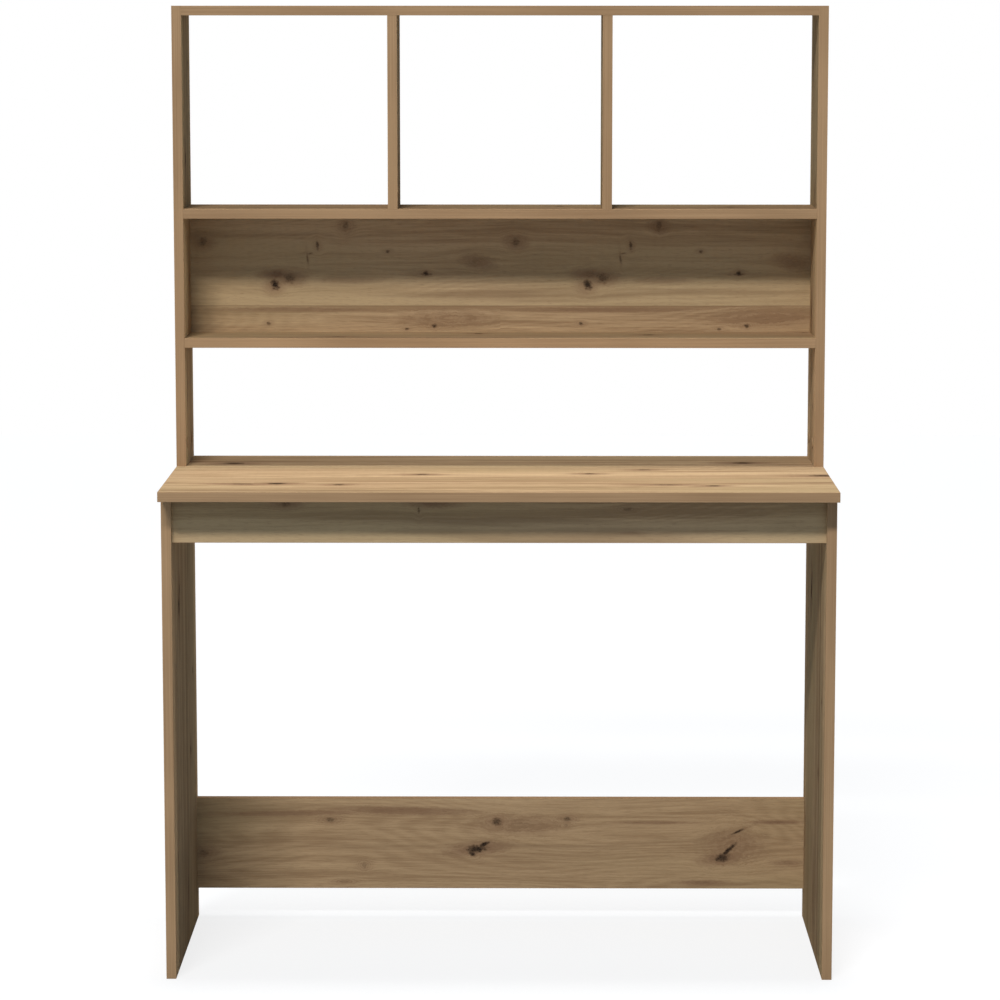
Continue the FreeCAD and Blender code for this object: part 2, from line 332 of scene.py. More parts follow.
# Lamps, and the way that the light of each travels
LAMP_DISTANCE = 15.0  # metres
TOP_DIRECTION = (0, 0, -1)
FILL_DIRECTION = (0, 1, -0.15)
SIDE_DIRECTIONS = {
    "Left light": (1, 0, -0.06),
    "Right light": (-1, 0, -0.06),
    "Back light": (0, -1, -0.06),
}
FLOOR_ROUGHNESS = 0.9
WHITE = (1, 1, 1, 1)

# Sockets of a Mix node for colours, by number because their names repeat
MIX_SHARE, MIX_FIRST, MIX_SECOND, MIX_RESULT = 0, 6, 7, 2


def colour_property(name, description, default):
    """A colour that the user can change, in linear light."""
    return FloatVectorProperty(
        name=name, description=description, subtype="COLOR", min=0, max=1, default=default
    )


def length_property(name, description, default):
    """A length that the user can change, in metres."""
    return FloatProperty(name=name, description=description, unit="LENGTH", min=0, default=default)


def place_property(name, description, default):
    """A place that the user can change, in metres in the desk's frame."""
    return FloatVectorProperty(
        name=name, description=description, subtype="TRANSLATION", unit="LENGTH", default=default
    )


def strength_property(name, description, default):
    """A lamp's strength that the user can change."""
    return FloatProperty(name=name, description=description, min=0, default=default)


def angle_property(name, description, degrees):
    """An angle that the user can change."""
    return FloatProperty(
        name=name, description=description, subtype="ANGLE", default=math.radians(degrees)
    )


class OakLook(PropertyGroup):
    """Colours and figure of the oak decor."""

    pale: colour_property("Pale wood", "Palest fibres of the decor", (0.560, 0.385, 0.215))
    tan: colour_property("Tan wood", "Usual tone of the decor", (0.450, 0.298, 0.162))
    brown: colour_property("Brown wood", "Darkest fibres of the decor", (0.330, 0.208, 0.110))
    olive: colour_property("Olive cast", "Greener stretches of the decor", (0.400, 0.292, 0.150))
    streak: colour_property("Heart streaks", "Long brown streaks", (0.205, 0.122, 0.064))
    halo: colour_property("Knot halo", "Wood round a knot", (0.225, 0.125, 0.070))
    knot: colour_property("Knot", "Core of a knot", (0.055, 0.034, 0.021))
    crack: colour_property("Crack", "Cracks in a knot", (0.012, 0.008, 0.006))
    plank_width: length_property("Plank width", "Width of one plank in the print", 0.17)
    sway: length_property("Sway", "How far the grain wanders across the board", 0.03)
    ring_count: FloatProperty(
        name="Ring count", description="Growth rings over the figure's full range",
        min=0, default=34,
    )
    pore_depth: length_property("Pore depth", "Relief of the printed surface", 0.0002)


class BandLook(PropertyGroup):
    """Colours of the glued edge bands."""

    pale: colour_property("Pale line", "Palest lines of the edge band", (0.500, 0.314, 0.167))
    deep: colour_property("Deep line", "Darkest lines of the edge band", (0.280, 0.166, 0.085))
    relief: length_property("Relief", "Depth of the fine lines", 0.0001)


class FittingLook(PropertyGroup):
    """Colours of the fittings, and sizes of those that are modelled here."""

    zinc: colour_property("Cast zinc", "Cam locks", (0.330, 0.335, 0.340))
    steel: colour_property("Plated steel", "Bolts", (0.640, 0.630, 0.600))
    beech: colour_property("Beech", "Dowels", (0.610, 0.420, 0.255))
    plastic: colour_property("Tan plastic", "Cam covers", (0.400, 0.262, 0.142))
    dowel_length: length_property("Dowel length", "Length of a dowel", 0.030)
    dowel_diameter: length_property("Dowel diameter", "Thickness over a dowel's ribs", 0.0078)
    dowel_chamfer: length_property("Dowel chamfer", "Chamfer at a dowel's ends", 0.001)
    flute_count: IntProperty(
        name="Flute count", description="Grooves along a dowel, which let the glue out",
        min=6, default=24,
    )
    flute_depth: length_property("Flute depth", "Depth of those grooves", 0.0003)
    thread_pitch: length_property(
        "Thread pitch", "Distance between the turns of a bolt's thread", 0.0015
    )


class StageLook(PropertyGroup):
    """Camera, lamps and floor."""

    camera_place: place_property("Camera place", "Where the camera stands", (0.035, -5.622, 1.478))
    camera_target: place_property(
        "Camera target", "The point the camera looks at", (0.0007, 0.0, 0.7183)
    )
    lens: FloatProperty(
        name="Lens", description="Focal length on a 36 mm sensor", unit="CAMERA", default=131.35
    )
    key_direction: FloatVectorProperty(
        name="Key direction", description="The way the key light travels", subtype="DIRECTION",
        default=(0.26, 1.0, -0.95),
    )
    key_strength: strength_property("Key strength", "Key light", 2.3)
    top_strength: strength_property("Top strength", "Light from overhead", 2.0)
    fill_strength: strength_property("Fill strength", "Soft light from the front", 0.2)
    side_strength: strength_property("Side strength", "Low light on the sides and the back", 1.8)
    key_width: angle_property("Key width", "Angle over which the key light spreads sideways", 20)
    key_height: angle_property("Key height", "Angle over which the key light spreads upwards", 5)
    softness: angle_property("Softness", "Angle over which the lamps spread", 9)
    fill_softness: angle_property("Fill softness", "Angle over which the fill spreads", 50)
    ambient: strength_property("Ambient", "Light from all round", 0.25)
    ambient_colour: colour_property(
        "Ambient colour", "Tint of the light from all round", (0.50, 0.715, 1.0)
    )
    floor_size: length_property("Floor size", "Side of the square floor", 14.0)
    floor_white: FloatProperty(
        name="Floor white", description="How far the camera sees the floor as plain white",
        subtype="FACTOR", min=0, max=1, default=0.8,
    )
    floor_colour: colour_property("Floor", "Colour of the floor", (0.86, 0.86, 0.86))
    floor_return: colour_property(
        "Floor return", "Light that the floor throws back up", (0.26, 0.30, 0.34)
    )


def fill(tree, socket, value):
    """Links a socket to another one, or sets its number."""
    if isinstance(value, bpy.types.NodeSocket):
        tree.links.new(value, socket)
    else:
        socket.default_value = value


def add_node(tree, kind, values=(), **options):
    """A shader node with its options set and its inputs filled, by name or by number."""
    node = tree.nodes.new(f"ShaderNode{kind}")
    for option, value in options.items():
        setattr(node, option, value)
    for key, value in dict(values).items():
        fill(tree, node.inputs[key], value)
    return node


def maths(tree, operation, *values):
    """The result of one sum."""
    return add_node(tree, "Math", enumerate(values), operation=operation).outputs[0]


def vectors(tree, operation, *values):
    """The vector that one vector sum gives."""
    return add_node(tree, "VectorMath", enumerate(values), operation=operation).outputs["Vector"]


def vector_length(tree, vector):
    """How long a vector is."""
    return add_node(tree, "VectorMath", {0: vector}, operation="LENGTH").outputs["Value"]


def noise(tree, place, size, detail, output="Fac"):
    """Noise whose features are about as large as the given size along each axis, in metres."""
    stretched = vectors(tree, "DIVIDE", place, size)
    values = {"Vector": stretched, "Scale": 1.0, "Detail": detail}
    return add_node(tree, "TexNoise", values).outputs[output]


def fade(tree, value, start, end, first=0.0, last=1.0):
    """Goes smoothly from the first level to the last, as the value goes from start to end."""
    sockets = {"Value": value, "From Min": start, "From Max": end, "To Min": first, "To Max": last}
    return add_node(tree, "MapRange", sockets, interpolation_type="SMOOTHSTEP").outputs["Result"]


def blend(tree, share, first, second):
    """A mix of two colours."""
    pair = [
        value if isinstance(value, bpy.types.NodeSocket) else (*value, 1)
        for value in (first, second)
    ]
    values = {MIX_SHARE: share, MIX_FIRST: pair[0], MIX_SECOND: pair[1]}
    return add_node(tree, "Mix", values, data_type="RGBA").outputs[MIX_RESULT]


def total(tree, terms):
    """The sum of (socket, weight, level that adds nothing)."""
    result = 0.0
    for socket, weight, level in terms:
        shifted = maths(tree, "SUBTRACT", socket, level)
        result = maths(tree, "MULTIPLY_ADD", shifted, weight, result)
    return result


def new_group(name, inputs, outputs):
    """An empty node group, the sockets that come into it and the sockets that it gives."""
    tree = bpy.data.node_groups.new(name, "ShaderNodeTree")
    for direction, sockets in (("INPUT", inputs), ("OUTPUT", outputs)):
        for socket, kind in sockets.items():
            tree.interface.new_socket(socket, in_out=direction, socket_type=f"NodeSocket{kind}")
    return tree, tree.nodes.new("NodeGroupInput").outputs, tree.nodes.new("NodeGroupOutput").inputs


def add_group(tree, group, values):
    """A node that uses a group, with its inputs filled."""
    node = tree.nodes.new("ShaderNodeGroup")
    node.node_tree = group
    for name, value in values.items():
        fill(tree, node.inputs[name], value)
    return node.outputs


def make_knot_group():
    """One knot: how far it pushes the grain aside, the loops round it, its core and its halo."""
    name = "Oak knot"
    if name in bpy.data.node_groups:
        return bpy.data.node_groups[name]
    tree, given, made = new_group(
        name,
        {
            "Place": "Vector", "Ragged": "Vector", "Centre": "Vector", "Half size": "Vector",
            "Turn": "Float", "Darkness": "Float", "Glow": "Float",
        },
        {"Push": "Float", "Loops": "Float", "Core": "Float", "Halo": "Float"},
    )
    offset = vectors(tree, "SUBTRACT", given["Place"], given["Centre"])
    on_face = vectors(tree, "MULTIPLY", offset, (1, 1, 0))
    turned = add_node(
        tree, "VectorRotate", {"Vector": on_face, "Angle": given["Turn"]}, rotation_type="Z_AXIS"
    ).outputs["Vector"]
    share = vectors(tree, "DIVIDE", turned, given["Half size"])
    ragged = vectors(tree, "ADD", share, given["Ragged"])
    distance = vector_length(tree, ragged)
    core = fade(tree, distance, *CORE_LEVELS)
    fill(tree, made["Core"], maths(tree, "MULTIPLY", core, given["Darkness"]))

    wide = vector_length(tree, vectors(tree, "DIVIDE", ragged, HALO_REACH))
    halo = maths(tree, "MULTIPLY", fade(tree, wide, *HALO_LEVELS), given["Glow"])
    rim = maths(tree, "MULTIPLY", fade(tree, distance, *RIM_LEVELS), given["Darkness"])
    fill(tree, made["Halo"], maths(tree, "MAXIMUM", halo, rim))

    near = vector_length(tree, vectors(tree, "DIVIDE", ragged, PUSH_REACH))
    squared = maths(tree, "MULTIPLY", near, near)
    falloff = maths(tree, "EXPONENT", maths(tree, "MULTIPLY", squared, -1))
    across = add_node(tree, "SeparateXYZ", {0: turned}).outputs["Y"]
    push = maths(tree, "MULTIPLY", maths(tree, "MULTIPLY", across, falloff), PUSH_SHARE)
    fill(tree, made["Push"], push)
    wave = maths(tree, "SINE", maths(tree, "MULTIPLY", near, LOOP_COUNT * math.tau))
    fill(tree, made["Loops"], maths(tree, "MULTIPLY", wave, falloff))
    return tree


def make_oak_group(look):
    """The oak decor: planks with swaying grain, rings, streaks, fibres and pores."""
    name = "Oak decor"
    if name in bpy.data.node_groups:
        return bpy.data.node_groups[name]
    tree, given, made = new_group(
        name,
        {
            "Place": "Vector", "Across seam": "Float", "Figure": "Float", "Tone": "Float",
            "Push": "Float", "Loops": "Float", "Knot": "Float", "Halo": "Float",
        },
        {"Colour": "Color", "Roughness": "Float"},
    )

    # Each plank of the print is taken from another place in the pattern
    rows = maths(tree, "DIVIDE", given["Across seam"], look.plank_width)
    row = maths(tree, "FLOOR", rows)
    chance = add_node(tree, "TexWhiteNoise", {"W": row}, noise_dimensions="1D").outputs
    cut = vectors(tree, "MULTIPLY_ADD", chance["Color"], PLANK_STEP, given["Place"])
    to_seam = maths(tree, "MULTIPLY", maths(tree, "PINGPONG", rows, 0.5), look.plank_width)
    seam = fade(tree, to_seam, SEAM_WIDTH, 0.0)

    # The grain bends round knots and sways along the board
    aside = add_node(tree, "CombineXYZ", {"Y": given["Push"]}).outputs[0]
    pushed = vectors(tree, "SUBTRACT", cut, aside)
    wander = maths(tree, "SUBTRACT", noise(tree, pushed, *SWAY), NOISE_MIDDLE)
    sideways = maths(tree, "MULTIPLY", wander, look.sway)
    shift = add_node(tree, "CombineXYZ", {"Y": sideways}).outputs[0]
    grain = vectors(tree, "ADD", pushed, shift)

    turns = maths(tree, "MULTIPLY", noise(tree, grain, *FIGURE), look.ring_count * math.tau)
    rings = maths(tree, "SINE", turns)
    streaks = noise(tree, grain, *STREAKS)
    lines = noise(tree, grain, *LINES)
    fibres = noise(tree, grain, *FIBRES)
    pores = fade(tree, noise(tree, grain, *PORES), *PORE_LEVELS)
    heart = fade(tree, noise(tree, grain, *HEART), *HEART_LEVELS)
    cast = fade(tree, noise(tree, pushed, *CAST), *CAST_LEVELS)

    stripes = total(
        tree, ((streaks, STREAK_WEIGHT, NOISE_MIDDLE), (lines, LINE_WEIGHT, NOISE_MIDDLE))
    )
    tone = total(
        tree,
        (
            (maths(tree, "MULTIPLY", stripes, given["Figure"]), 1.0, 0.0),
            (fibres, FIBRE_WEIGHT, NOISE_MIDDLE),
            (rings, RING_WEIGHT, 0.0),
            (given["Loops"], LOOP_WEIGHT, 0.0),
            (chance["Value"], PLANK_WEIGHT, NOISE_MIDDLE),
            (given["Tone"], 1.0, 0.0),
        ),
    )
    mottle = maths(tree, "MULTIPLY_ADD", lines, HALO_LINES, HALO_BASE)
    halo = maths(tree, "MULTIPLY", given["Halo"], mottle)
    split = maths(tree, "SUBTRACT", noise(tree, given["Place"], *CRACKS), NOISE_MIDDLE)
    crack = fade(tree, maths(tree, "ABSOLUTE", split), *CRACK_LEVELS)
    cracked = maths(tree, "MULTIPLY", crack, given["Knot"])

    # Colours in the order in which each lies over the ones before it
    colour = blend(tree, fade(tree, tone, *TAN_LEVELS), look.brown, look.tan)
    for share, over in (
        (fade(tree, tone, *PALE_LEVELS), look.pale),
        (maths(tree, "MULTIPLY", cast, CAST_SHARE), look.olive),
        (maths(tree, "MULTIPLY", heart, HEART_SHARE), look.streak),
        (maths(tree, "MULTIPLY", pores, PORE_SHARE), look.streak),
        (halo, look.halo),
        (given["Knot"], look.knot),
        (cracked, look.crack),
        (maths(tree, "MULTIPLY", seam, SEAM_SHARE), look.streak),
    ):
        colour = blend(tree, share, colour, over)
    fill(tree, made["Colour"], colour)

    rough = total(
        tree,
        (
            (lines, LINE_ROUGHNESS, NOISE_MIDDLE),
            (pores, PORE_ROUGHNESS, 0.0),
            (given["Knot"], KNOT_ROUGHNESS, 0.0),
        ),
    )
    fill(tree, made["Roughness"], maths(tree, "ADD", rough, OAK_ROUGHNESS))
    return tree


def new_material(name):
    """An empty material, its node tree and its shader."""
    material = bpy.data.materials.new(name)
    material.use_nodes = True
    tree = material.node_tree
    return material, tree, tree.nodes["Principled BSDF"]


def object_place(tree):
    """The place on a piece, in metres in the desk's frame."""
    return add_node(tree, "TexCoord").outputs["Object"]


def add_bump(tree, shader, height, depth):
    """Relief of the given depth, in metres."""
    bump = add_node(tree, "Bump", {"Height": height, "Distance": depth})
    fill(tree, shader.inputs["Normal"], bump.outputs["Normal"])


def add_knots(tree, place, knots, repeat):
    """All of a board's knots together, as inputs of the oak decor."""
    if repeat:
        # Each length along the board shows the knots of the one that ends at the origin
        axes = add_node(tree, "SeparateXYZ", {0: place}).outputs
        along = maths(tree, "WRAP", axes["X"], 0.0, -repeat * MM)
        place = add_node(tree, "CombineXYZ", {0: along, 1: axes["Y"]}).outputs[0]
    shake = noise(tree, place, *RAGGED_EDGE, "Color")
    centred = vectors(tree, "SUBTRACT", shake, (NOISE_MIDDLE, NOISE_MIDDLE, NOISE_MIDDLE))
    ragged = vectors(tree, "MULTIPLY", centred, (KNOT_LOOSENESS, KNOT_LOOSENESS, 0))
    push = loops = core = halo = 0.0
    for along, across, half_length, half_height, turn, darkness, glow in knots:
        knot = add_group(
            tree,
            make_knot_group(),
            {
                "Place": place,
                "Ragged": ragged,
                "Centre": (along * MM, across * MM, 0),
                "Half size": (half_length * MM, half_height * MM, 1),
                "Turn": -math.radians(turn),
                "Darkness": darkness,
                "Glow": glow,
            },
        )
        push = maths(tree, "ADD", push, knot["Push"])
        loops = maths(tree, "ADD", loops, knot["Loops"])
        core = maths(tree, "MAXIMUM", core, knot["Core"])
        halo = maths(tree, "MAXIMUM", halo, knot["Halo"])
    return {"Push": push, "Loops": loops, "Knot": core, "Halo": halo}


def show(node, material):
    """Puts a material in a CAD node's slots."""
    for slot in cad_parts[node].material_slots:
        slot.link = "OBJECT"
        slot.material = material


def dress_board(look, board):
    """Gives a board its oak decor."""
    cut = CUTS[board]
    material, tree, shader = new_material(f"Oak {board}")
    parts = add_node(tree, "SeparateXYZ", {0: object_place(tree)}).outputs
    in_order = enumerate(parts[axis] for axis in cut.axes)
    place = add_node(tree, "CombineXYZ", in_order).outputs[0]
    across = parts[cut.axes[1]]
    tone = cut.tone
    if cut.change:
        start, end, other_tone = cut.change
        tone = fade(tree, across, start * MM, end * MM, tone, other_tone)
    oak = add_group(
        tree,
        make_oak_group(look),
        {
            "Place": vectors(tree, "ADD", place, [step * cut.sheet for step in SHEET_STEP]),
            "Across seam": maths(tree, "SUBTRACT", across, cut.seam * MM),
            "Figure": cut.figure,
            "Tone": tone,
            **add_knots(tree, place, cut.knots, cut.repeat),
        },
    )
    fill(tree, shader.inputs["Base Color"], oak["Colour"])
    fill(tree, shader.inputs["Roughness"], oak["Roughness"])
    shader.inputs["Specular IOR Level"].default_value = SHEEN
    add_bump(tree, shader, noise(tree, place, *RELIEF), look.pore_depth)
    show(board, material)


def dress_band(look, board, through, paler):
    """Gives the edge band of a board its tone. The board's thickness runs along the given axis."""
    band = f"{board}_edge_band"
    material, tree, shader = new_material(f"Oak {band}")
    place = object_place(tree)
    size = [BAND_LINE if axis == through else BAND_RUN for axis in "XYZ"]
    lines = noise(tree, place, size, BAND_DETAIL)
    patches = noise(tree, place, (BAND_RUN, BAND_RUN, BAND_RUN), BAND_DETAIL)
    tone = total(tree, ((lines, BAND_WEIGHT, NOISE_MIDDLE), (patches, BAND_WEIGHT, NOISE_MIDDLE)))
    share = maths(tree, "ADD", tone, BAND_SHARE + paler)
    fill(tree, shader.inputs["Base Color"], blend(tree, share, look.deep, look.pale))
    fill(tree, shader.inputs["Roughness"], maths(tree, "MULTIPLY_ADD", lines, *BAND_ROUGHNESS))
    shader.inputs["Specular IOR Level"].default_value = SHEEN
    add_bump(tree, shader, lines, look.relief)
    show(band, material)


def make_fitting_material(name, colour, finish):
    """A mottled material for a fitting."""
    material, tree, shader = new_material(name)
    spots = noise(tree, object_place(tree), finish.spots, SPOT_DETAIL)
    darker = [SPOT_SHADE * value for value in colour]
    mottled = blend(tree, fade(tree, spots, *SPOT_LEVELS), darker, colour)
    fill(tree, shader.inputs["Base Color"], mottled)
    rough = maths(tree, "MULTIPLY_ADD", spots, SPOT_ROUGHNESS, finish.roughness)
    fill(tree, shader.inputs["Roughness"], rough)
    shader.inputs["Metallic"].default_value = finish.metallic
    if not finish.metallic:
        shader.inputs["Specular IOR Level"].default_value = SHEEN
    add_bump(tree, shader, spots, finish.relief)
    return material


def make_steel(look):
    """Bright plated steel, turned."""
    return make_fitting_material("Plated steel", look.steel, TURNED_FINISH)


def start_fitting(name):
    """Names the primitive just added, puts its place into its mesh and goes into edit mode."""
    piece = bpy.context.object
    piece.name = name
    bpy.ops.object.transform_apply()
    bpy.ops.object.mode_set(mode="EDIT")
    return piece


def pick(piece, kind, test):
    """Selects the points, edges or faces of a piece that pass a test, and nothing else."""
    bpy.ops.mesh.select_all(action="DESELECT")
    mesh = bmesh.from_edit_mesh(piece.data)
    for element in getattr(mesh, kind):
        if test(element):
            element.select_set(True)
    mesh.select_flush(True)
    bmesh.update_edit_mesh(piece.data)


def draw_out(length, share):
    """Extrudes the selected end along Z and scales it about the axis."""
    bpy.ops.mesh.extrude_region_move(TRANSFORM_OT_translate={"value": (0, 0, length)})
    bpy.ops.transform.resize(value=(share, share, 1), center_override=(0, 0, 0))


def make_dowel(look):
    """A fluted dowel along Z, with its middle at the origin and a chamfer at each end."""
    sides = 2 * look.flute_count
    radius = look.dowel_diameter / 2
    depth = look.dowel_length - 2 * look.dowel_chamfer
    bpy.ops.mesh.primitive_cylinder_add(vertices=sides, radius=radius, depth=depth)
    dowel = start_fitting("fluted_dowels")
    step = math.tau / sides
    pick(dowel, "verts", lambda point: round(math.atan2(point.co.y, point.co.x) / step) % 2)
    groove = 1 - look.flute_depth / radius
    bpy.ops.transform.resize(value=(groove, groove, 1), center_override=(0, 0, 0))
    for way in (1, -1):
        pick(dowel, "faces", lambda face: face.normal.z * way > END_FACING)
        draw_out(way * look.dowel_chamfer, 1 - look.dowel_chamfer / radius)
    return dowel


def make_cam_bolt(look):
    """A cam bolt along Z, its middle at the origin: a thread below, then shaft, neck and head."""
    tip = -BOLT_STEPS[-1][0] * MM / 2
    thread_length, thread_radius = (size * MM for size in BOLT_THREAD)
    joint = tip + thread_length

    # A square on its corner, without its inner corner, is one ridge of the thread
    ridge = look.thread_pitch / 2
    root = thread_radius - ridge
    bpy.ops.mesh.primitive_plane_add(
        size=math.sqrt(2) * ridge,
        location=(root, 0, joint + look.thread_pitch),
        rotation=(math.pi / 2, math.pi / 4, 0),
    )
    bolt = start_fitting("threaded_cam_bolts")
    pick(bolt, "verts", lambda point: point.co.x < root - ridge / 2)
    bpy.ops.mesh.delete(type="VERT")
    bpy.ops.mesh.select_all(action="SELECT")
    turns = math.ceil(thread_length / look.thread_pitch) + SPARE_TURNS
    bpy.ops.mesh.screw(steps=BOLT_SIDES, turns=turns, center=(0, 0, 0), axis=(0, 0, 1))
    bpy.ops.mesh.select_all(action="SELECT")
    bpy.ops.mesh.remove_doubles(threshold=MERGE_DISTANCE)
    for end, way in ((tip, 1), (joint + THREAD_OVERLAP, -1)):
        bpy.ops.mesh.select_all(action="SELECT")
        bpy.ops.mesh.bisect(
            plane_co=(0, 0, end),
            plane_no=(0, 0, way),
            use_fill=True,
            clear_inner=True,
            threshold=MERGE_DISTANCE,
        )

    # The shaft is a rod, and the neck and head are drawn out of its end
    reach, radius = (size * MM for size in BOLT_STEPS[0])
    depth = reach - thread_length
    bpy.ops.mesh.primitive_cylinder_add(
        vertices=BOLT_SIDES, radius=radius, depth=depth, location=(0, 0, joint + depth / 2)
    )
    pick(bolt, "faces", lambda face: face.calc_center_median().z > tip + reach - MERGE_DISTANCE)
    for next_reach, next_radius in BOLT_STEPS[1:]:
        draw_out(next_reach * MM - reach, next_radius * MM / radius)
        reach, radius = next_reach * MM, next_radius * MM
    rim = tip + reach - MERGE_DISTANCE
    pick(bolt, "edges", lambda edge: all(point.co.z > rim for point in edge.verts))
    bpy.ops.mesh.bevel(offset=HEAD_ROUND, segments=HEAD_SEGMENTS, affect="EDGES")
    bpy.ops.mesh.select_all(action="SELECT")
    bpy.ops.mesh.normals_make_consistent(inside=False)
    return bolt


def solid_boxes(node):
    """The lowest and highest corner of each separate solid in a CAD node."""
    mesh = bmesh.new()
    mesh.from_mesh(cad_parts[node].data)
    bmesh.ops.remove_doubles(mesh, verts=mesh.verts, dist=MERGE_DISTANCE)
    boxes = []
    waiting = set(mesh.verts)
    while waiting:
        found = [waiting.pop()]
        for vertex in found:
            near = {edge.other_vert(vertex) for edge in vertex.link_edges} & waiting
            waiting -= near
            found.extend(near)
        places = list(zip(*(vertex.co for vertex in found)))
        boxes.append((Vector(map(min, places)), Vector(map(max, places))))
    mesh.free()
    return sorted(boxes, key=lambda box: box[0][:])


def place_copies(fitting, node, material):
    """Puts a copy of a fitting at each solid of a CAD node, and joins them into its replacement.

    The fitting is modelled along Z. Its upper end points to the desk's middle where the solid lies
    along X, and down where the solid stands.
    """
    bpy.ops.object.mode_set(mode="OBJECT")
    bpy.ops.object.shade_smooth_by_angle(angle=SMOOTH_ANGLE)
    fitting.data.materials.append(material)
    copies = []
    for low, high in solid_boxes(node):
        middle, size = (low + high) / 2, high - low
        inwards = Vector((-math.copysign(1, middle.x), 0, 0))
        direction = inwards if size.x > size.z else Vector((0, 0, -1))
        turn = direction.to_track_quat("Z", "Y").to_matrix().to_4x4()
        copy = fitting.copy()
        copy.data = fitting.data.copy()
        copy.data.transform(Matrix.Translation(middle) @ turn)
        bpy.context.collection.objects.link(copy)
        copies.append(copy)
    name = fitting.name
    bpy.data.objects.remove(fitting)
    for copy in copies:
        copy.select_set(True)
    bpy.context.view_layer.objects.active = copies[0]
    bpy.ops.object.join()
    piece = bpy.context.object
    piece.name = name
    bpy.ops.object.select_all(action="DESELECT")
    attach(piece, "root")
    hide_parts(node)


def seen_plainly(tree):
    """1 for what the camera sees straight, in a shiny surface or through glass."""
    path = add_node(tree, "LightPath").outputs
    mirrored = maths(tree, "MAXIMUM", path["Is Glossy Ray"], path["Is Transmission Ray"])
    return maths(tree, "MAXIMUM", path["Is Camera Ray"], mirrored)


def mix_shaders(tree, share, first, second):
    """A mix of what two shader nodes give."""
    values = {0: share, 1: first.outputs[0], 2: second.outputs[0]}
    return add_node(tree, "MixShader", values)


def add_floor(look):
    """A pale floor that keeps the desk's shadow."""
    bpy.ops.mesh.primitive_plane_add(size=look.floor_size)
    floor = bpy.context.object
    floor.name = "Floor"
    material, tree, shader = new_material("Floor")
    shader.inputs["Base Color"].default_value = (*look.floor_return, 1)
    shader.inputs["Roughness"].default_value = FLOOR_ROUGHNESS
    pale = add_node(tree, "BsdfDiffuse", {"Color": (*look.floor_colour, 1)})
    white = add_node(tree, "Emission")
    shaded = mix_shaders(tree, look.floor_white, pale, white)
    mixed = mix_shaders(tree, seen_plainly(tree), shader, shaded)
    fill(tree, tree.nodes["Material Output"].inputs["Surface"], mixed.outputs[0])
    floor.data.materials.append(material)


def add_lamp(name, direction, strength, width, height):
    """A distant soft box whose light travels the given way. Its width and height are angles."""
    travel = Vector(direction).normalized()
    low, high = cad_bounds
    place = (low + high) / 2 - travel * LAMP_DISTANCE
    turn = travel.to_track_quat("-Z", "Y").to_euler()
    bpy.ops.object.light_add(type="AREA", location=place, rotation=turn)
    lamp = bpy.context.object
    lamp.name = name
    lamp.visible_camera = False
    lamp.data.shape = "RECTANGLE"
    lamp.data.size = 2 * LAMP_DISTANCE * math.tan(width / 2)
    lamp.data.size_y = 2 * LAMP_DISTANCE * math.tan(height / 2)
    lamp.data.energy = strength * math.pi * LAMP_DISTANCE**2


def set_world(scene, look):
    """Even light from all round, which the camera sees as plain white."""
    scene.world = bpy.data.worlds.new("Studio")
    scene.world.use_nodes = True
    tree = scene.world.node_tree
    even = tree.nodes["Background"]
    even.inputs["Color"].default_value = (*look.ambient_colour, 1)
    even.inputs["Strength"].default_value = look.ambient
    plain = add_node(tree, "Background", {"Color": WHITE, "Strength": 1.0})
    mixed = mix_shaders(tree, seen_plainly(tree), even, plain)
    fill(tree, tree.nodes["World Output"].inputs["Surface"], mixed.outputs[0])


def add_camera(scene, look):
    """The camera, aimed at its target."""
    place = Vector(look.camera_place)
    turn = (Vector(look.camera_target) - place).to_track_quat("-Z", "Y").to_euler()
    bpy.ops.object.camera_add(location=place, rotation=turn)
    scene.camera = bpy.context.object
    scene.camera.data.lens = look.lens


class STUDY_DESK_OT_dress_desk_top(Operator):
    """Give the desk top its oak decor, with the grain from side to side"""

    bl_idname = "study_desk.dress_desk_top"
    bl_label = "Dress Desk Top"

    def execute(self, context):
        dress_board(context.scene.desk_oak, "desk_top")
        return {"FINISHED"}


class STUDY_DESK_OT_dress_legs(Operator):
    """Give the two leg panels their oak decor, with the grain upright"""

    bl_idname = "study_desk.dress_legs"
    bl_label = "Dress Legs"

    def execute(self, context):
        for leg in ("left_leg", "right_leg"):
            dress_board(context.scene.desk_oak, leg)
        return {"FINISHED"}


class STUDY_DESK_OT_dress_apron(Operator):
    """Give the front apron its oak decor"""

    bl_idname = "study_desk.dress_apron"
    bl_label = "Dress Apron"

    def execute(self, context):
        dress_board(context.scene.desk_oak, "front_apron")
        return {"FINISHED"}


class STUDY_DESK_OT_dress_rear_panel(Operator):
    """Give the low rear panel its oak decor"""

    bl_idname = "study_desk.dress_rear_panel"
    bl_label = "Dress Rear Panel"

    def execute(self, context):
        dress_board(context.scene.desk_oak, "rear_panel")
        return {"FINISHED"}


class STUDY_DESK_OT_dress_uprights(Operator):
    """Give the hutch's two uprights their oak decor"""

    bl_idname = "study_desk.dress_uprights"
    bl_label = "Dress Uprights"

    def execute(self, context):
        for upright in ("left_upright", "right_upright"):
            dress_board(context.scene.desk_oak, upright)
        return {"FINISHED"}


class STUDY_DESK_OT_dress_shelves(Operator):
    """Give the two shelves and the hutch top their oak decor"""

    bl_idname = "study_desk.dress_shelves"
    bl_label = "Dress Shelves"

    def execute(self, context):
        for shelf in ("lower_shelf", "upper_shelf", "hutch_top"):
            dress_board(context.scene.desk_oak, shelf)
        return {"FINISHED"}


class STUDY_DESK_OT_dress_dividers(Operator):
    """Give the cubby dividers their oak decor"""

    bl_idname = "study_desk.dress_dividers"
    bl_label = "Dress Dividers"

    def execute(self, context):
        for divider in ("divider_1", "divider_2"):
            dress_board(context.scene.desk_oak, divider)
        return {"FINISHED"}


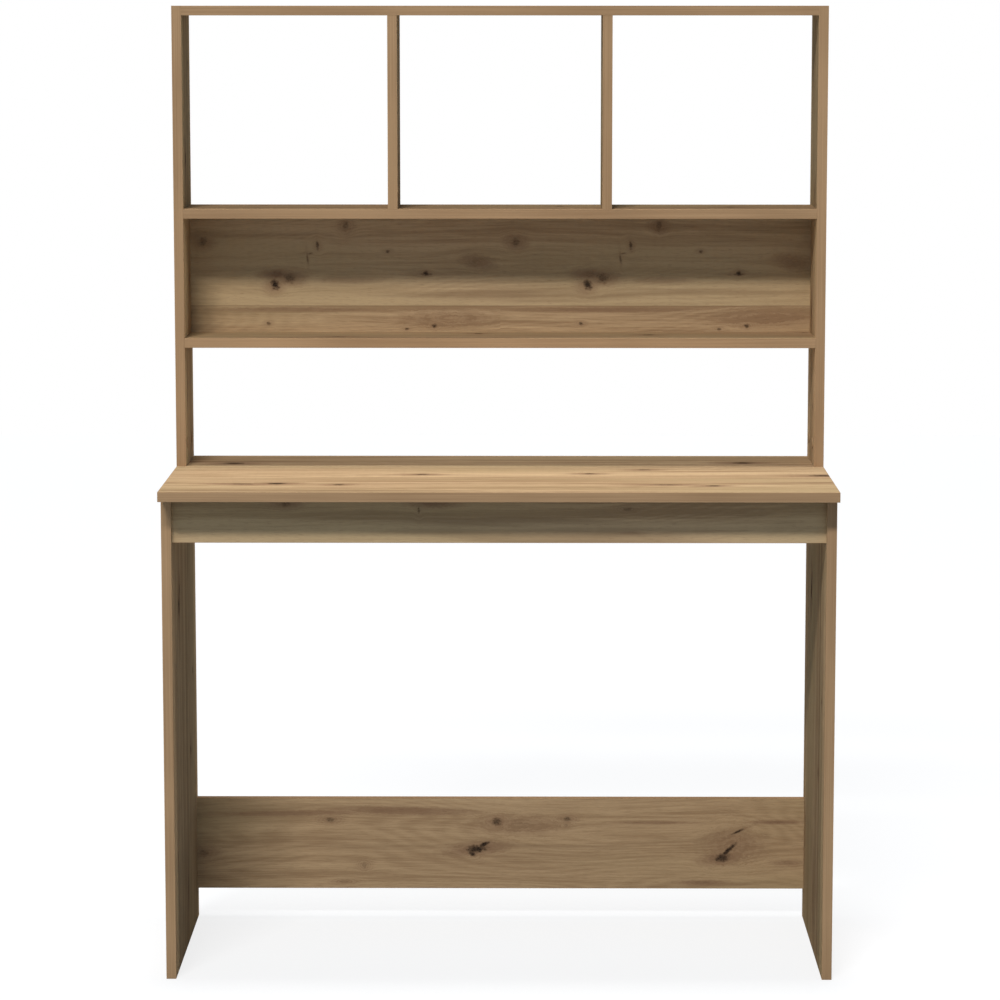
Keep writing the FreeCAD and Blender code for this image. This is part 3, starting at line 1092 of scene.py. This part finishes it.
class STUDY_DESK_OT_dress_hutch_back(Operator):
    """Give the hutch back its oak decor, whose print repeats along the board"""

    bl_idname = "study_desk.dress_hutch_back"
    bl_label = "Dress Hutch Back"

    def execute(self, context):
        dress_board(context.scene.desk_oak, "hutch_back")
        return {"FINISHED"}


class STUDY_DESK_OT_dress_edge_bands(Operator):
    """Give the edge bands their plain tone and fine lengthwise lines"""

    bl_idname = "study_desk.dress_edge_bands"
    bl_label = "Dress Edge Bands"

    def execute(self, context):
        for board, (through, paler) in BANDS.items():
            dress_band(context.scene.desk_bands, board, through, paler)
        return {"FINISHED"}


class STUDY_DESK_OT_dress_cam_locks(Operator):
    """Give the cam locks their cast zinc"""

    bl_idname = "study_desk.dress_cam_locks"
    bl_label = "Dress Cam Locks"

    def execute(self, context):
        zinc = context.scene.desk_fittings.zinc
        show("cam_locks", make_fitting_material("Cast zinc", zinc, CAST_FINISH))
        return {"FINISHED"}


class STUDY_DESK_OT_dress_through_bolts(Operator):
    """Give the through bolts their plated steel"""

    bl_idname = "study_desk.dress_through_bolts"
    bl_label = "Dress Through Bolts"

    def execute(self, context):
        show("through_bolts", make_steel(context.scene.desk_fittings))
        return {"FINISHED"}


class STUDY_DESK_OT_make_cam_bolts(Operator):
    """Model the cam bolts with their screw thread, in place of the plain ones"""

    bl_idname = "study_desk.make_cam_bolts"
    bl_label = "Make Cam Bolts"

    def execute(self, context):
        look = context.scene.desk_fittings
        place_copies(make_cam_bolt(look), "cam_bolts", make_steel(look))
        return {"FINISHED"}


class STUDY_DESK_OT_make_dowels(Operator):
    """Model the dowels with their flutes, in place of the plain ones"""

    bl_idname = "study_desk.make_dowels"
    bl_label = "Make Dowels"

    def execute(self, context):
        look = context.scene.desk_fittings
        beech = make_fitting_material("Beech", look.beech, BEECH_FINISH)
        place_copies(make_dowel(look), "dowels", beech)
        return {"FINISHED"}


class STUDY_DESK_OT_dress_cam_covers(Operator):
    """Give the cam covers their tan plastic"""

    bl_idname = "study_desk.dress_cam_covers"
    bl_label = "Dress Cam Covers"

    def execute(self, context):
        plastic = context.scene.desk_fittings.plastic
        show("cam_covers", make_fitting_material("Tan plastic", plastic, MOULDED_FINISH))
        return {"FINISHED"}


class STUDY_DESK_OT_set_stage(Operator):
    """Set up the floor, the lamps, the white surroundings and the camera"""

    bl_idname = "study_desk.set_stage"
    bl_label = "Set Stage"

    def execute(self, context):
        look = context.scene.desk_stage
        add_floor(look)
        add_lamp(
            "Key light", look.key_direction, look.key_strength, look.key_width, look.key_height
        )
        add_lamp("Overhead light", TOP_DIRECTION, look.top_strength, look.softness, look.softness)
        add_lamp(
            "Front fill", FILL_DIRECTION, look.fill_strength, look.fill_softness, look.fill_softness
        )
        for name, direction in SIDE_DIRECTIONS.items():
            add_lamp(name, direction, look.side_strength, look.softness, look.softness)
        set_world(context.scene, look)
        add_camera(context.scene, look)
        context.scene.view_settings.view_transform = "Standard"
        return {"FINISHED"}


OPERATORS = (
    STUDY_DESK_OT_dress_desk_top,
    STUDY_DESK_OT_dress_legs,
    STUDY_DESK_OT_dress_apron,
    STUDY_DESK_OT_dress_rear_panel,
    STUDY_DESK_OT_dress_uprights,
    STUDY_DESK_OT_dress_shelves,
    STUDY_DESK_OT_dress_dividers,
    STUDY_DESK_OT_dress_hutch_back,
    STUDY_DESK_OT_dress_edge_bands,
    STUDY_DESK_OT_dress_cam_locks,
    STUDY_DESK_OT_dress_through_bolts,
    STUDY_DESK_OT_make_cam_bolts,
    STUDY_DESK_OT_make_dowels,
    STUDY_DESK_OT_dress_cam_covers,
    STUDY_DESK_OT_set_stage,
)
LOOKS = {
    "desk_oak": OakLook,
    "desk_bands": BandLook,
    "desk_fittings": FittingLook,
    "desk_stage": StageLook,
}


class STUDY_DESK_PT_build(Panel):
    """Lists the steps that dress the desk"""

    bl_idname = "STUDY_DESK_PT_build"
    bl_label = "Study Desk"
    bl_space_type = "VIEW_3D"
    bl_region_type = "UI"
    bl_category = "Study desk"

    def draw(self, context):
        for operator in OPERATORS:
            self.layout.operator(operator.bl_idname)
        for look in LOOKS:
            settings = getattr(context.scene, look)
            box = self.layout.box()
            for name in settings.__annotations__:
                box.prop(settings, name)


def register():
    """Registers the classes, and adds the settings to the scene."""
    for kind in (*LOOKS.values(), *OPERATORS, STUDY_DESK_PT_build):
        bpy.utils.register_class(kind)
    for name, look in LOOKS.items():
        setattr(bpy.types.Scene, name, PointerProperty(type=look))


def unregister():
    """Takes the settings off the scene, and the classes away."""
    for name in LOOKS:
        delattr(bpy.types.Scene, name)
    for kind in (STUDY_DESK_PT_build, *reversed(OPERATORS), *reversed(LOOKS.values())):
        bpy.utils.unregister_class(kind)


def main():
    """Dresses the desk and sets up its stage."""
    register()
    bpy.ops.object.select_all(action="DESELECT")
    bpy.ops.study_desk.dress_desk_top()
    bpy.ops.study_desk.dress_legs()
    bpy.ops.study_desk.dress_apron()
    bpy.ops.study_desk.dress_rear_panel()
    bpy.ops.study_desk.dress_uprights()
    bpy.ops.study_desk.dress_shelves()
    bpy.ops.study_desk.dress_dividers()
    bpy.ops.study_desk.dress_hutch_back()
    bpy.ops.study_desk.dress_edge_bands()
    bpy.ops.study_desk.dress_cam_locks()
    bpy.ops.study_desk.dress_through_bolts()
    bpy.ops.study_desk.make_cam_bolts()
    bpy.ops.study_desk.make_dowels()
    bpy.ops.study_desk.dress_cam_covers()
    bpy.ops.study_desk.set_stage()


if __name__ == "__main__":
    main()
